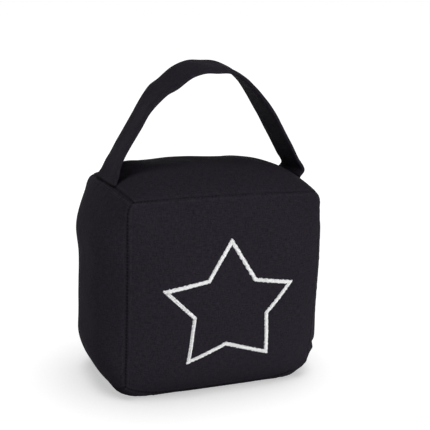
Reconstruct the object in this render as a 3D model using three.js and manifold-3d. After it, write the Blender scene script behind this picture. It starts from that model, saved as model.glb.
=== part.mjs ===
// A weighted fabric door stop: a stuffed bag sewn from six panels of black cloth, a carrying
// strap whose tails are caught in the two upper side seams, and a star embroidered on the front.
// Millimetres, +Z up. X runs across the front, -Y is the front, and the origin is on the floor
// under the middle of the bag.

import * as THREE from 'three';
import { LoftGeometry } from 'three/addons/geometries/LoftGeometry.js';
import { ParametricGeometry } from 'three/addons/geometries/ParametricGeometry.js';
import { mergeGeometries, mergeVertices } from 'three/addons/utils/BufferGeometryUtils.js';
import Module from 'manifold-3d';

// The bag's size over its crowned panels
const BAG_WIDTH = 140;
const BAG_DEPTH = 99.4;

// Corners of the bag, where three seams meet: how far each lies inside that size, and its height
const TOP_CORNER_SIDE_INSET = 16.3;
const TOP_CORNER_FACE_INSET = 9.5;
const TOP_CORNER_Z = 115.2;
const BASE_CORNER_SIDE_INSET = 13.5;
const BASE_CORNER_FACE_INSET = 13.8;
const BASE_CORNER_Z = 8.9;

// How far the filling pushes the middle of each seam away from a straight line
const UPRIGHT_SEAM_BOW = 1.6;
const TOP_FRONT_SEAM_BOW = 1.9;
const TOP_FRONT_SEAM_RISE = 1.4;
const TOP_SIDE_SEAM_BOW = 3.3;
const TOP_SIDE_SEAM_RISE = 3.8;
const BASE_FRONT_SEAM_BOW = 1;
const BASE_SIDE_SEAM_BOW = 3;
const BASE_SEAM_SAG = 5.7;
const BASE_SEAM_FLATNESS = 4;

// The upright seams step outwards just below the top corners
const SHOULDER_STEP = 3.7;
const SHOULDER_LENGTH = 3.5;

// How far each panel crowns beyond its seams, and how flat its middle stays
const FRONT_CROWN = 7.3;
const SIDE_CROWN = 8.9;
const TOP_CROWN = 7.4;
const BASE_CROWN = 13.4;
const FRONT_FLATNESS_ACROSS = 4;
const SIDE_FLATNESS_ACROSS = 3.3;
const WALL_FLATNESS_UP = 4.7;
const TOP_FLATNESS = 4.1;
const BASE_FLATNESS = 4;
const SETTLING = 0.11;

// The cloth rolls over its seam allowance beside every seam
const SEAM_ROLL = 0.9;
const SEAM_ROLL_WIDTH = 1.4;

// Carrying strap, a flat sewn tube with fuller edges
const STRAP_WIDTH = 28;
const STRAP_THICKNESS = 3.2;
const STRAP_TAIL = 12;
const STRAP_TAIL_LEAN = 2.5;
const STRAP_RISE = 63;
const STRAP_PEAK_X = 3;
const STRAP_CLEARANCE = 0.3;
const POCKET_ABOVE_SEAM = 12;

// Embroidered star, set on the front panel
const STAR_X = 0.6;
const STAR_Z = 54.1;
const STAR_LINE_WIDTH = 2.5;
const STAR_LINE_HEIGHT = 0.7;
const STAR_CLEARANCE = 0.3;

// The route of the strap, in steps inwards and up from the seam it leaves
const LEFT_LEG = [
  [2.2, 4.5],
  [4.6, 10.6],
  [7.9, 17.6],
  [11.8, 24.6],
  [15.7, 31.2],
  [19.9, 38],
  [24.8, 44.9],
  [30, 50.5],
];
const RIGHT_LEG = [
  [-2.2, 4],
  [0.9, 10.4],
  [5.3, 18],
  [10.1, 25.6],
  [14.7, 32.8],
  [19, 39.6],
  [24.3, 46.7],
  [29.4, 52.2],
];

// The top of the arch, in steps across and down from its peak
const ARCH_TOP = [
  [-24, -8.4],
  [-16, -3.6],
  [-8, -0.7],
  [0, 0],
  [8, -0.8],
  [15, -3.9],
];

// How far the strap is turned about its own length, in degrees, at even steps along it.
// At the top its rear edge stands higher than its front edge.
const STRAP_TURNS = [0, -8.5, 7.5, 5.8, 0];

// The star's points and notches in turn, clockwise from the top, from its middle
const STAR_OUTLINE = [
  [-1.2, 38],
  [14.3, 15],
  [36.5, 11.3],
  [22.6, -5.9],
  [24.5, -29.9],
  [-1.4, -22.3],
  [-23.3, -30.2],
  [-21.1, -4.4],
  [-37.4, 11.8],
  [-13.5, 16.4],
];

// Section of the strap: share of its half width, and of its half thickness
const STRAP_SECTION = [
  [1, 0],
  [0.97, 0.65],
  [0.88, 1],
  [0.5, 0.8],
  [0, 0.75],
  [-0.5, 0.8],
  [-0.88, 1],
  [-0.97, 0.65],
  [-1, 0],
  [-0.97, -0.65],
  [-0.88, -1],
  [-0.5, -0.8],
  [0, -0.75],
  [0.5, -0.8],
  [0.88, -1],
  [0.97, -0.65],
];

// Section of the star's line: share of its width from the inner edge, and of its height
const STAR_SECTION = [
  [0, 0],
  [1, 0],
  [0.88, 0.75],
  [0.5, 1],
  [0.12, 0.75],
];

// Fineness of the meshes
const FACE_SEGMENTS = 24;
const SIDE_SEGMENTS = 18;
const UPRIGHT_SEGMENTS = 24;
const STRAP_STATIONS = 56;
const POCKET_STATIONS = 6;
const STAR_EDGE_STATIONS = 7;
const EDGE_CROWDING = 1.35;
const SURFACE_SEARCH_STEPS = 12;

const wasm = await Module();
wasm.setup();

// Materials

const blackCloth = new THREE.MeshStandardMaterial({ color: 0x262328, roughness: 0.95, metalness: 0 });
const strapCloth = new THREE.MeshStandardMaterial({ color: 0x252227, roughness: 0.95, metalness: 0 });
const whiteThread = new THREE.MeshStandardMaterial({ color: 0xe2e3e6, roughness: 0.6, metalness: 0 });

// Corners

const TOP_CORNER_X = BAG_WIDTH / 2 - TOP_CORNER_SIDE_INSET;
const TOP_CORNER_Y = BAG_DEPTH / 2 - TOP_CORNER_FACE_INSET;
const BASE_CORNER_X = BAG_WIDTH / 2 - BASE_CORNER_SIDE_INSET;
const BASE_CORNER_Y = BAG_DEPTH / 2 - BASE_CORNER_FACE_INSET;

// Seams. s runs from -1 to 1 along each, and the side signs say which of the like seams it is.

function between(low, high, s) {
  return low + (high - low) * (s + 1) / 2;
}

function uprightSeam(sideX, sideY, s) {
  const bow = 1 - s * s;
  const z = between(BASE_CORNER_Z, TOP_CORNER_Z, s);
  const below = (TOP_CORNER_Z - z) / SHOULDER_LENGTH;
  const step = SHOULDER_STEP * (1 - Math.exp(-below)) * (s + 1) / 2;
  const x = between(BASE_CORNER_X, TOP_CORNER_X, s) + step;
  const y = between(BASE_CORNER_Y, TOP_CORNER_Y, s) + UPRIGHT_SEAM_BOW * bow;
  return new THREE.Vector3(sideX * x, sideY * y, z);
}

function topFrontSeam(sideY, s) {
  const bow = 1 - s * s;
  const y = TOP_CORNER_Y + TOP_FRONT_SEAM_BOW * bow;
  return new THREE.Vector3(s * TOP_CORNER_X, sideY * y, TOP_CORNER_Z + TOP_FRONT_SEAM_RISE * bow);
}

function topSideSeam(sideX, s) {
  const bow = 1 - s * s;
  const x = TOP_CORNER_X + TOP_SIDE_SEAM_BOW * bow;
  return new THREE.Vector3(sideX * x, s * TOP_CORNER_Y, TOP_CORNER_Z + TOP_SIDE_SEAM_RISE * bow);
}

function baseFrontSeam(sideY, s) {
  const bow = 1 - Math.abs(s) ** BASE_SEAM_FLATNESS;
  const y = BASE_CORNER_Y + BASE_FRONT_SEAM_BOW * bow;
  return new THREE.Vector3(s * BASE_CORNER_X, sideY * y, BASE_CORNER_Z - BASE_SEAM_SAG * bow);
}

function baseSideSeam(sideX, s) {
  const bow = 1 - Math.abs(s) ** BASE_SEAM_FLATNESS;
  const x = BASE_CORNER_X + BASE_SIDE_SEAM_BOW * bow;
  return new THREE.Vector3(sideX * x, s * BASE_CORNER_Y, BASE_CORNER_Z - BASE_SEAM_SAG * bow);
}

// A surface that meets four seams: low and high run along a, first and last run along b
function stretched(low, high, first, last, a, b) {
  const point = low(a).multiplyScalar((1 - b) / 2);
  point.addScaledVector(high(a), (1 + b) / 2);
  point.addScaledVector(first(b), (1 - a) / 2);
  point.addScaledVector(last(b), (1 + a) / 2);
  point.addScaledVector(low(-1), -(1 - a) * (1 - b) / 4);
  point.addScaledVector(low(1), -(1 + a) * (1 - b) / 4);
  point.addScaledVector(high(-1), -(1 - a) * (1 + b) / 4);
  point.addScaledVector(high(1), -(1 + a) * (1 + b) / 4);
  return point;
}

function crowned(a, flatnessA, b, flatnessB) {
  return (1 - Math.abs(a) ** flatnessA) * (1 - Math.abs(b) ** flatnessB);
}

// The filling settles, so the walls are fuller low down than high up
function settled(b) {
  return 1 - SETTLING * b;
}

// How far the cloth stands off its seams: nothing on them, and all of it a few millimetres away
function rolled(a, halfA, b, halfB) {
  const fromA = 1 - Math.exp(-(1 - Math.abs(a)) * halfA / SEAM_ROLL_WIDTH);
  const fromB = 1 - Math.exp(-(1 - Math.abs(b)) * halfB / SEAM_ROLL_WIDTH);
  return SEAM_ROLL * fromA * fromB;
}

// Panels. a and b run from -1 to 1 across each.

const HALF_HEIGHT = (TOP_CORNER_Z - BASE_CORNER_Z) / 2;

function facePanel(sideY, a, b) {
  const point = stretched(
    (s) => baseFrontSeam(sideY, s),
    (s) => topFrontSeam(sideY, s),
    (s) => uprightSeam(-1, sideY, s),
    (s) => uprightSeam(1, sideY, s),
    a,
    b,
  );
  const crown = FRONT_CROWN * crowned(a, FRONT_FLATNESS_ACROSS, b, WALL_FLATNESS_UP);
  point.y += sideY * (crown * settled(b) + rolled(a, TOP_CORNER_X, b, HALF_HEIGHT));
  return point;
}

function sidePanel(sideX, a, b) {
  const point = stretched(
    (s) => baseSideSeam(sideX, s),
    (s) => topSideSeam(sideX, s),
    (s) => uprightSeam(sideX, -1, s),
    (s) => uprightSeam(sideX, 1, s),
    a,
    b,
  );
  const crown = SIDE_CROWN * crowned(a, SIDE_FLATNESS_ACROSS, b, WALL_FLATNESS_UP);
  point.x += sideX * (crown * settled(b) + rolled(a, TOP_CORNER_Y, b, HALF_HEIGHT));
  return point;
}

function topPanel(a, b) {
  const point = stretched(
    (s) => topFrontSeam(-1, s),
    (s) => topFrontSeam(1, s),
    (s) => topSideSeam(-1, s),
    (s) => topSideSeam(1, s),
    a,
    b,
  );
  const crown = TOP_CROWN * crowned(a, TOP_FLATNESS, b, TOP_FLATNESS);
  point.z += crown + rolled(a, TOP_CORNER_X, b, TOP_CORNER_Y);
  return point;
}

// The weight presses the middle of the base flat on the floor
function basePanel(a, b) {
  const point = stretched(
    (s) => baseFrontSeam(-1, s),
    (s) => baseFrontSeam(1, s),
    (s) => baseSideSeam(-1, s),
    (s) => baseSideSeam(1, s),
    a,
    b,
  );
  const crown = BASE_CROWN * crowned(a, BASE_FLATNESS, b, BASE_FLATNESS);
  point.z = Math.max(0, point.z - crown);
  return point;
}

// Even steps crowded towards both ends, where the cloth turns fastest
function crowdedToEnds(share) {
  return Math.sin((2 * share - 1) * EDGE_CROWDING) / Math.sin(EDGE_CROWDING);
}

// One panel as a mesh; turned is -1 where the panel is seen from its other side
function panelGeometry(panel, turned, divisionsA, divisionsB) {
  const surface = (u, v, target) => {
    target.copy(panel(turned * crowdedToEnds(u), crowdedToEnds(v)));
  };
  return new ParametricGeometry(surface, divisionsA, divisionsB);
}

// Only positions are kept, so that corners shared by neighbouring faces are one vertex
function closed(geometry) {
  const plain = new THREE.BufferGeometry().copy(geometry);
  plain.deleteAttribute('normal');
  plain.deleteAttribute('uv');
  return mergeVertices(plain);
}

function sewnBag() {
  return closed(mergeGeometries([
    panelGeometry((a, b) => facePanel(-1, a, b), 1, FACE_SEGMENTS, UPRIGHT_SEGMENTS),
    panelGeometry((a, b) => facePanel(1, a, b), -1, FACE_SEGMENTS, UPRIGHT_SEGMENTS),
    panelGeometry((a, b) => sidePanel(-1, a, b), -1, SIDE_SEGMENTS, UPRIGHT_SEGMENTS),
    panelGeometry((a, b) => sidePanel(1, a, b), 1, SIDE_SEGMENTS, UPRIGHT_SEGMENTS),
    panelGeometry(topPanel, 1, FACE_SEGMENTS, SIDE_SEGMENTS),
    panelGeometry(basePanel, -1, FACE_SEGMENTS, SIDE_SEGMENTS),
  ]));
}

// Strap

function strapRoute() {
  const leftSeam = topSideSeam(-1, 0);
  const rightSeam = topSideSeam(1, 0);
  const peakZ = leftSeam.z + STRAP_RISE;
  const points = [
    new THREE.Vector3(leftSeam.x + STRAP_TAIL_LEAN, 0, leftSeam.z - STRAP_TAIL),
    leftSeam,
  ];
  for (const [inwards, up] of LEFT_LEG) {
    points.push(new THREE.Vector3(leftSeam.x + inwards, 0, leftSeam.z + up));
  }
  for (const [across, down] of ARCH_TOP) {
    points.push(new THREE.Vector3(STRAP_PEAK_X + across, 0, peakZ + down));
  }
  for (const [inwards, up] of [...RIGHT_LEG].reverse()) {
    points.push(new THREE.Vector3(rightSeam.x - inwards, 0, rightSeam.z + up));
  }
  points.push(rightSeam);
  points.push(new THREE.Vector3(rightSeam.x - STRAP_TAIL_LEAN, 0, rightSeam.z - STRAP_TAIL));
  return new THREE.CatmullRomCurve3(points, false, 'centripetal');
}

function strapTurn(share) {
  const place = Math.min(Math.max(share, 0), 1) * (STRAP_TURNS.length - 1);
  const first = Math.min(Math.floor(place), STRAP_TURNS.length - 2);
  const eased = THREE.MathUtils.smoothstep(place - first, 0, 1);
  const degrees = THREE.MathUtils.lerp(STRAP_TURNS[first], STRAP_TURNS[first + 1], eased);
  return THREE.MathUtils.degToRad(degrees);
}

function strapSection(route, share, grow, shift) {
  const tangent = route.getTangentAt(share);
  const centre = route.getPointAt(share).addScaledVector(tangent, shift);
  const backwards = new THREE.Vector3(0, 1, 0);
  const outwards = new THREE.Vector3().crossVectors(tangent, backwards);
  const across = backwards.clone().applyAxisAngle(tangent, strapTurn(share));
  const through = outwards.clone().applyAxisAngle(tangent, strapTurn(share));
  return STRAP_SECTION.map(([wide, thick]) => {
    const point = centre.clone();
    point.addScaledVector(across, wide * (STRAP_WIDTH / 2 + grow));
    point.addScaledVector(through, thick * STRAP_THICKNESS / 2 + Math.sign(thick) * grow);
    return point;
  });
}

function strap(route) {
  const sections = [];
  for (let station = 0; station <= STRAP_STATIONS; station++) {
    sections.push(strapSection(route, station / STRAP_STATIONS, 0, 0));
  }
  return closed(new LoftGeometry(sections, { capStart: true, capEnd: true }));
}

// The pocket that a tail fills, from just past its end to well above the seam
function tailPocket(route, fromEnd) {
  const reach = (STRAP_TAIL + POCKET_ABOVE_SEAM) / route.getLength();
  const sections = [];
  for (let station = 0; station <= POCKET_STATIONS; station++) {
    const share = reach * station / POCKET_STATIONS;
    const shift = station === 0 ? STRAP_CLEARANCE : 0;
    if (fromEnd) {
      sections.unshift(strapSection(route, 1 - share, STRAP_CLEARANCE, shift));
    } else {
      sections.push(strapSection(route, share, STRAP_CLEARANCE, -shift));
    }
  }
  return closed(new LoftGeometry(sections, { capStart: true, capEnd: true }));
}

// Star

// The place on the front panel that has a given x and z
function frontPanelAt(x, z) {
  let a = 0;
  let b = 0;
  let point = facePanel(-1, a, b);
  for (let step = 0; step < SURFACE_SEARCH_STEPS; step++) {
    a += (x - point.x) / BASE_CORNER_X;
    b += (z - point.z) / HALF_HEIGHT;
    point = facePanel(-1, a, b);
  }
  return point;
}

// The outline moved sideways by a distance, with its corners kept sharp
function offsetOutline(outline, distance) {
  return outline.map((corner, index) => {
    const before = outline[(index + outline.length - 1) % outline.length];
    const after = outline[(index + 1) % outline.length];
    const arriving = corner.clone().sub(before).normalize();
    const leaving = after.clone().sub(corner).normalize();
    const outFirst = new THREE.Vector2(-arriving.y, arriving.x);
    const outLast = new THREE.Vector2(-leaving.y, leaving.x);
    const mitre = outFirst.add(outLast).normalize();
    return corner.clone().addScaledVector(mitre, distance / mitre.dot(outLast));
  });
}

function starSection(inner, outer) {
  const insideEdge = frontPanelAt(inner.x, inner.y);
  const outsideEdge = frontPanelAt(outer.x, outer.y);
  return STAR_SECTION.map(([across, raised]) => {
    const point = insideEdge.clone().lerp(outsideEdge, across);
    point.y -= STAR_CLEARANCE + raised * STAR_LINE_HEIGHT;
    return point;
  });
}

function star() {
  const outline = STAR_OUTLINE.map(([x, z]) => new THREE.Vector2(STAR_X + x, STAR_Z + z));
  const inner = offsetOutline(outline, -STAR_LINE_WIDTH / 2);
  const outer = offsetOutline(outline, STAR_LINE_WIDTH / 2);
  const sections = [];
  for (let corner = 0; corner < outline.length; corner++) {
    const next = (corner + 1) % outline.length;
    for (let station = 0; station < STAR_EDGE_STATIONS; station++) {
      const share = station / STAR_EDGE_STATIONS;
      const inside = inner[corner].clone().lerp(inner[next], share);
      const outside = outer[corner].clone().lerp(outer[next], share);
      sections.push(starSection(inside, outside));
    }
  }
  sections.push(sections[0].map((point) => point.clone()));
  return closed(new LoftGeometry(sections));
}

// Cutting

function solidFrom(geometry) {
  return new wasm.Manifold(new wasm.Mesh({
    numProp: 3,
    vertProperties: new Float32Array(geometry.attributes.position.array),
    triVerts: new Uint32Array(geometry.index.array),
  }));
}

function geometryFrom(solid) {
  const mesh = solid.getMesh();
  const geometry = new THREE.BufferGeometry();
  geometry.setAttribute('position', new THREE.BufferAttribute(mesh.vertProperties, 3));
  geometry.setIndex(new THREE.BufferAttribute(mesh.triVerts, 1));
  return geometry;
}

// The door stop

const route = strapRoute();
const leftPocket = solidFrom(tailPocket(route, false));
const rightPocket = solidFrom(tailPocket(route, true));
const bag = solidFrom(sewnBag()).subtract(leftPocket).subtract(rightPocket);

function named(name, geometry, material) {
  const mesh = new THREE.Mesh(geometry, material);
  mesh.name = name;
  return mesh;
}

const doorStop = new THREE.Group();
doorStop.add(named('stuffed_bag', geometryFrom(bag), blackCloth));
doorStop.add(named('carrying_strap', strap(route), strapCloth));
doorStop.add(named('embroidered_star', star(), whiteThread));

export default doorStop;
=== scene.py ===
# %% [markdown]
# # A weighted fabric door stop
#
# The real object is a cube of black cotton cloth, sewn from six panels, stuffed with wadding and
# sand, with a strap to carry it by and a star embroidered on its front. This script dresses the
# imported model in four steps: the stuffed bag, the strap, the embroidery, and then the finishes
# and the light. Everything is in metres, with the front towards -Y and the floor at z = 0.

# %% Load the frame
import math
from functools import partial

import bpy
import numpy as np
from mathutils import Matrix, Vector
from mathutils.bvhtree import BVHTree


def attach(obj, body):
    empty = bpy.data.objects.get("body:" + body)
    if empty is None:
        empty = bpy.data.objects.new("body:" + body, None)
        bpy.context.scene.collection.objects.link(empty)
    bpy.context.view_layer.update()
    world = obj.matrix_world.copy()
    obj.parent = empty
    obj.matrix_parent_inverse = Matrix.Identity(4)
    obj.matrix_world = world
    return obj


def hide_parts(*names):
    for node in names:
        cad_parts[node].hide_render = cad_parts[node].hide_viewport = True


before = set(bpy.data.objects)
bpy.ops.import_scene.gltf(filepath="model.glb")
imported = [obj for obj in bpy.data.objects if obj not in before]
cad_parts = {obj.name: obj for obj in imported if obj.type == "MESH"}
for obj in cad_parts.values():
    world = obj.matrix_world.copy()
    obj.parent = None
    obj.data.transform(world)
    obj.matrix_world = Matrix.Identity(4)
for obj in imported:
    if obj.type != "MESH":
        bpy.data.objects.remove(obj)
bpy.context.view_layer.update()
MM = 0.001
print("CAD nodes:", sorted(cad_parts))

# %% [markdown]
# ## The camera
#
# A camera is easiest to match to a photograph before anything else is made. Its place is worked
# out from the corners of the bag: how far it stands from the middle of the bag, how far round to
# the left, how high, and how much it is tilted. The photograph was cropped, so the middle of the
# lens isn't the middle of the picture, and the lens shift makes up for that.

# %% Set up the camera
PHOTO_WIDTH = 430
LENS_MIDDLE = (198.97, 240.71)
FOCAL_PIXELS = 932.9
SENSOR_WIDTH = 36.0
LOOKED_AT = Vector((0, 0, 80 * MM))
CAMERA_DISTANCE = 555.6 * MM
CAMERA_ROUND = math.radians(22.02)
CAMERA_UP = math.radians(15.03)
CAMERA_ROLL = math.radians(1.51)


def make_camera():
    level = math.cos(CAMERA_UP)
    back = Vector((-math.sin(CAMERA_ROUND) * level, -math.cos(CAMERA_ROUND) * level, math.sin(CAMERA_UP)))
    right = Vector((0, 0, 1)).cross(back).normalized()
    up = back.cross(right)
    rolled_right = right * math.cos(CAMERA_ROLL) + up * math.sin(CAMERA_ROLL)
    rolled_up = back.cross(rolled_right)
    data = bpy.data.cameras.new("photo_camera")
    data.sensor_width = SENSOR_WIDTH
    data.lens = FOCAL_PIXELS / PHOTO_WIDTH * SENSOR_WIDTH
    data.shift_x = (PHOTO_WIDTH / 2 - LENS_MIDDLE[0]) / PHOTO_WIDTH
    data.shift_y = (LENS_MIDDLE[1] - PHOTO_WIDTH / 2) / PHOTO_WIDTH
    data.clip_start = 10 * MM
    camera = bpy.data.objects.new("photo_camera", data)
    turn = Matrix((rolled_right, rolled_up, back)).transposed()
    camera.matrix_world = Matrix.Translation(LOOKED_AT + back * CAMERA_DISTANCE) @ turn.to_4x4()
    bpy.context.scene.collection.objects.link(camera)
    bpy.context.scene.camera = camera
    return camera


camera = make_camera()
print("camera at", [round(x, 3) for x in camera.matrix_world.translation])

# %% [markdown]
# ## The seams of the bag
#
# A stuffed bag is easiest to describe by its seams, because the cloth between them only follows.
# Each seam is a line between two corners, pushed outwards in its middle by the filling. The
# upright seams also step outwards just under the top corners, where the cloth of three panels is
# bunched, and the right front one stands out a little more than the others.

# %% Corners and seams
TOP_CORNER = np.array((53.7, 40.2, 115.2)) * MM
BASE_CORNER = np.array((56.5, 35.9, 8.9)) * MM
HALVES = (TOP_CORNER[0], TOP_CORNER[1], (TOP_CORNER[2] - BASE_CORNER[2]) / 2)
UPRIGHT_BOW = 1.6 * MM
SHOULDER_STEP = 3.7 * MM
SHOULDER_LENGTH = 2.3 * MM
RIGHT_FRONT_SHIFT = 1.25 * MM
RIGHT_FRONT_FALL = 0.6
TOP_FACE_BOW = (1.9 * MM, 1.4 * MM)
TOP_SIDE_BOW = (3.3 * MM, 3.8 * MM)
TOP_FLATNESS = 2
BASE_FACE_BOW = (-2.2 * MM, -7.4 * MM)
BASE_FACE_FLATNESS = 5.5
BASE_SIDE_BOW = (3.0 * MM, -5.7 * MM)
BASE_SIDE_FLATNESS = 4


def upright_seam(side_x, side_y, s):
    """Points of one upright seam, where s runs from -1 at the base to 1 at the top."""
    share = (s + 1) / 2
    x = BASE_CORNER[0] + (TOP_CORNER[0] - BASE_CORNER[0]) * share
    y = BASE_CORNER[1] + (TOP_CORNER[1] - BASE_CORNER[1]) * share + UPRIGHT_BOW * (1 - s * s)
    z = BASE_CORNER[2] + (TOP_CORNER[2] - BASE_CORNER[2]) * share
    x = x + SHOULDER_STEP * (1 - np.exp(-(TOP_CORNER[2] - z) / SHOULDER_LENGTH)) * share
    if side_x > side_y:
        x = x + RIGHT_FRONT_SHIFT * (1 - s ** 4) * (1 - RIGHT_FRONT_FALL * s)
    return np.stack([side_x * x, side_y * y, z], -1)


def face_seam(corner, bow, flatness, side_y, s):
    """Points of the seam over or under the front or the back, where s runs from left to right."""
    push = 1 - np.abs(s) ** flatness
    return np.stack([s * corner[0], side_y * (corner[1] + bow[0] * push), corner[2] + bow[1] * push], -1)


def side_seam(corner, bow, flatness, side_x, s):
    """Points of the seam over or under a side, where s runs from front to back."""
    push = 1 - np.abs(s) ** flatness
    return np.stack([side_x * (corner[0] + bow[0] * push), s * corner[1], corner[2] + bow[1] * push], -1)


top_face_seam = partial(face_seam, TOP_CORNER, TOP_FACE_BOW, TOP_FLATNESS)
top_side_seam = partial(side_seam, TOP_CORNER, TOP_SIDE_BOW, TOP_FLATNESS)
base_face_seam = partial(face_seam, BASE_CORNER, BASE_FACE_BOW, BASE_FACE_FLATNESS)
base_side_seam = partial(side_seam, BASE_CORNER, BASE_SIDE_BOW, BASE_SIDE_FLATNESS)
STRAP_SEAM_MIDDLE = top_side_seam(1, np.array(0.0))
print("the strap leaves its seams at x = +-%.1f, z = %.1f mm" % tuple(STRAP_SEAM_MIDDLE[[0, 2]] / MM))

# %% [markdown]
# ## The panels between the seams
#
# Each panel is a surface stretched between its four seams, which is known as a Coons patch, and
# then pushed outwards by the filling. The push is nothing on the seams and nearly the same over
# the whole middle, because cloth is tight there. Beside a seam the cloth also rolls over its seam
# allowance, which makes a rounded bead a few millimetres wide with a sharp valley between beads.
# A voxel remesh would lose that valley, so the mesh is a grid with extra rows close to the seams.

# %% Lines of the grid
STITCH = 2.0 * MM
ROWS_BY_SEAM = np.array((0.25, 0.6, 1.15, 2.0)) * MM


def stitches_on(length):
    return int(round((length - 2 * ROWS_BY_SEAM[-1]) / STITCH))


def grid_lines(length, per_stitch):
    """Places from -1 to 1 across a panel: some close to each end, and even ones between."""
    ends = ROWS_BY_SEAM / length
    count = stitches_on(length) * per_stitch
    even = np.linspace(ends[-1], 1 - ends[-1], count + 1)
    share = np.concatenate([[0.0], ends[:-1], even, 1 - ends[:-1][::-1], [1.0]])
    return share * 2 - 1


def stitch_count(line, half):
    """How many stitches a place is along its seam; a whole number is on a stitch."""
    inner = half - ROWS_BY_SEAM[-1]
    return (line * half + inner) / (2 * inner) * stitches_on(2 * half)


def lines_for(per_stitch):
    return [grid_lines(2 * half, per_stitch) for half in HALVES]


coarse_lines = lines_for(1)
fine_lines = lines_for(2)
print("grid lines across, deep and up:", [len(line) for line in fine_lines])

# %% Crown and stretch a panel
ROLL = 0.5 * MM
ROLL_WIDTH = 0.4 * MM
BEAD = 0.25 * MM
BEAD_AT = 1.9 * MM
BEAD_WIDTH = 1.1 * MM


def stretched(low, high, first, last, a, b):
    """The surface that meets four seams: low and high run along a, first and last along b."""
    one = np.ones(1)
    a3, b3 = a[:, None, None], b[None, :, None]
    ruled = low(a)[:, None] * (1 - b3) / 2 + high(a)[:, None] * (1 + b3) / 2
    ruled = ruled + first(b)[None] * (1 - a3) / 2 + last(b)[None] * (1 + a3) / 2
    corners = low(-one) * (1 - a3) * (1 - b3) + low(one) * (1 + a3) * (1 - b3)
    corners = corners + high(-one) * (1 - a3) * (1 + b3) + high(one) * (1 + a3) * (1 + b3)
    return ruled - corners / 4


def crowned(a, flat_a, b, flat_b):
    """The push of the filling: one over the middle, nothing on the seams."""
    return (1 - np.abs(a[:, None]) ** flat_a) * (1 - np.abs(b[None, :]) ** flat_b)


def on_grid(by_a, by_b):
    """Pairs of values over a grid, from the values along each of its two ways."""
    return np.stack(np.broadcast_arrays(by_a[:, None], by_b[None, :]), -1)


def seam_roll(gap):
    return 1 - np.exp(-gap / ROLL_WIDTH)


def bump_at(run, middle, width):
    """One smooth bump along a line."""
    return np.exp(-((run - middle) / width) ** 2)


print("cloth stands %.2f mm off the seams" % (ROLL / MM))

# %% [markdown]
# ## Nothing sewn by hand is quite even
#
# Three kinds of unevenness make cloth look sewn. The seam thread pulls a dimple at each stitch.
# The panels pucker beside the seams, in ripples a few millimetres long that fade into the panel.
# The filling is lumpy, which shows as broad soft swells. Ripples and swells are sums of sine
# waves with fixed seeds, so each run gives the same bag.

# %% Ripples and swells
LUMP = 0.40 * MM
CREASE = 0.06 * MM


def unit(way):
    return way / np.maximum(np.linalg.norm(way, axis=-1, keepdims=True), 1e-12)


def waves(seed, count, shortest, longest):
    """A smooth random line: a function of a distance along a seam, from about -1 to 1."""
    random = np.random.default_rng(seed)
    lengths = random.uniform(shortest, longest, count)
    phases = random.uniform(0, 2 * math.pi, count)

    def along(run):
        turns = [2 * math.pi * run / length + phase for length, phase in zip(lengths, phases)]
        return sum(np.sin(turn) for turn in turns) / count ** 0.5

    return along


def swells(seed, count, shortest, longest):
    """A smooth random field: a function of points in space, from about -1 to 1."""
    random = np.random.default_rng(seed)
    directions = unit(random.normal(size=(count, 3)))
    turns = directions * (2 * math.pi / random.uniform(shortest, longest, count))[:, None]
    phases = random.uniform(0, 2 * math.pi, count)

    def at(points):
        return np.sin(points @ turns.T + phases).sum(-1) / count ** 0.5

    return at


lumps = swells(11, 14, 26 * MM, 70 * MM)
creases = swells(12, 18, 9 * MM, 20 * MM)
print("swell at the middle of the front: %.2f" % lumps(np.array((0, -0.05, 0.06))))

# %% One panel of the bag
PUCKER = 0.07 * MM
PUCKER_REACH = 4.0 * MM
PUCKER_LENGTHS = (4 * MM, 11 * MM)
TIGHTNESS_LENGTHS = (9 * MM, 40 * MM)
LUMPS_START = 12 * MM


def clear_of_seams(gaps, reach):
    """Nothing on a seam, rising to one at some distance from every seam."""
    return np.clip(gaps.min(-1) / reach, 0, 1)


def panel(seams, outward, crown, flatness, halves, a, b, seed, settled):
    """Points of one panel, with its cloth coordinates and its distances to the seams."""
    points = stretched(*seams, a, b)
    gaps = on_grid((1 - np.abs(a)) * halves[0], (1 - np.abs(b)) * halves[1])
    gap_a, gap_b = gaps[..., 0], gaps[..., 1]
    run_a, run_b = a * halves[0], b * halves[1]
    push = crown * crowned(a, flatness[0], b, flatness[1]) * (1 - settled * b[None, :])
    roll_a, roll_b = seam_roll(gap_a), seam_roll(gap_b)
    roll = roll_a * roll_b
    tight_a = waves(seed + 11, 6, *TIGHTNESS_LENGTHS)(run_a)[:, None]
    tight_b = waves(seed + 12, 6, *TIGHTNESS_LENGTHS)(run_b)[None, :]
    push = push + ROLL * roll * (0.8 + 0.25 * tight_a * tight_b)
    bead_a, bead_b = bump_at(gap_a, BEAD_AT, BEAD_WIDTH), bump_at(gap_b, BEAD_AT, BEAD_WIDTH)
    push = push + BEAD * (bead_a * roll_b + bead_b * roll_a) * roll
    inside = clear_of_seams(gaps, LUMPS_START)
    push = push + LUMP * lumps(points) * inside ** 2 + CREASE * creases(points) * inside * roll
    for side in (-1, 1):
        rippling = waves(seed + side, 7, *PUCKER_LENGTHS)
        beside_a = np.exp(-gap_a / PUCKER_REACH) * (np.sign(a[:, None]) == side)
        push = push + PUCKER * rippling(run_b)[None, :] * beside_a * roll
        rippling = waves(seed + 2 * side, 7, *PUCKER_LENGTHS)
        beside_b = np.exp(-gap_b / PUCKER_REACH) * (np.sign(b[None, :]) == side)
        push = push + PUCKER * rippling(run_a)[:, None] * beside_b * roll
    return {
        "points": points + push[..., None] * np.array(outward, float),
        "cloth": on_grid(run_a, run_b),
        "gaps": gaps,
        "stitches": on_grid(stitch_count(a, halves[0]), stitch_count(b, halves[1]))[..., ::-1],
        "out": np.array(outward, float),
        "winding": outward[0] - outward[1] + outward[2],
    }


print("ripples beside a seam fade over %.0f mm" % (PUCKER_REACH / MM))

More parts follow.
